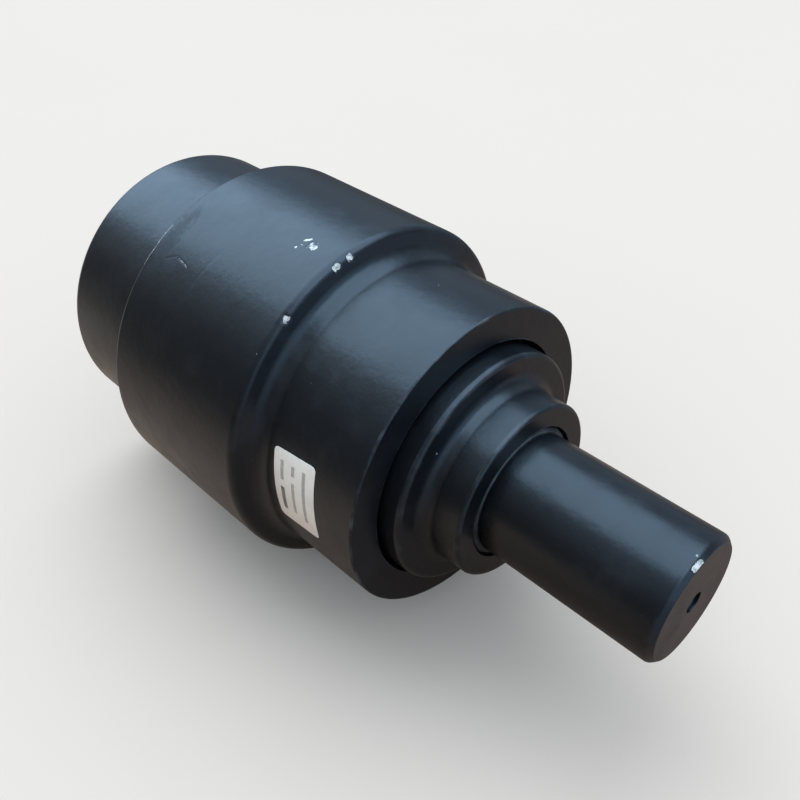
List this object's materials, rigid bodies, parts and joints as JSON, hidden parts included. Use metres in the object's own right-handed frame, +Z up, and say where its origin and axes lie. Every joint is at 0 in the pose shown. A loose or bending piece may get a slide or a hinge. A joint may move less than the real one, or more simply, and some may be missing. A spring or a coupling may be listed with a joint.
{
  "type": "track carrier roller",
  "caption": "Flanged carrier roller for a crawler track, turning on bushes round a cantilevered shaft with a pinned collar, floating seal and bolted end cover.",
  "frame": {"origin": "on the axis at the collar's outer face, where the bare shaft end begins", "axes": "+Y along the axis, out of the roller towards the free end of the shaft; +Z up, +X to the side"},
  "size_m": [0.15, 0.2818, 0.15],
  "materials": {
    "black_paint": "satin black paint, lightly chipped",
    "seal_rubber": "matt nitrile rubber",
    "seal_iron": "cast alloy iron with a lapped face",
    "machined_steel": "turned steel",
    "zinc_steel": "zinc plated",
    "bronze": "turned bronze",
    "white_label": "white paper label, blank of lettering"
  },
  "bodies": {
    "shaft_assembly": {"shaft": "black_paint", "oil_plug": "black_paint", "collar": "black_paint", "collar_pin": "zinc_steel", "collar_o_ring": "seal_rubber", "dust_ring": "seal_rubber", "fixed_seal_ring": "seal_iron", "fixed_toric_ring": "seal_rubber", "thrust_plate": "machined_steel", "thrust_plate_bolts": "zinc_steel", "thrust_plate_washers": "zinc_steel"},
    "roller": {"roller_shell": "black_paint", "collar_side_bush": "bronze", "cover_side_bush": "bronze", "collar_side_thrust_washer": "bronze", "cover_side_thrust_washer": "bronze", "turning_seal_ring": "seal_iron", "turning_toric_ring": "seal_rubber", "end_cover": "black_paint", "cover_o_ring": "seal_rubber", "cover_bolts": "black_paint", "cover_washers": "black_paint", "label": "white_label"}
  },
  "joints": [
    {"name": "roller_spin", "type": "hinge", "parent": "shaft_assembly", "child": "roller", "pos_m": [0, -0.1178, 0], "axis": [0, 1, 0], "continuous": true}
  ]
}
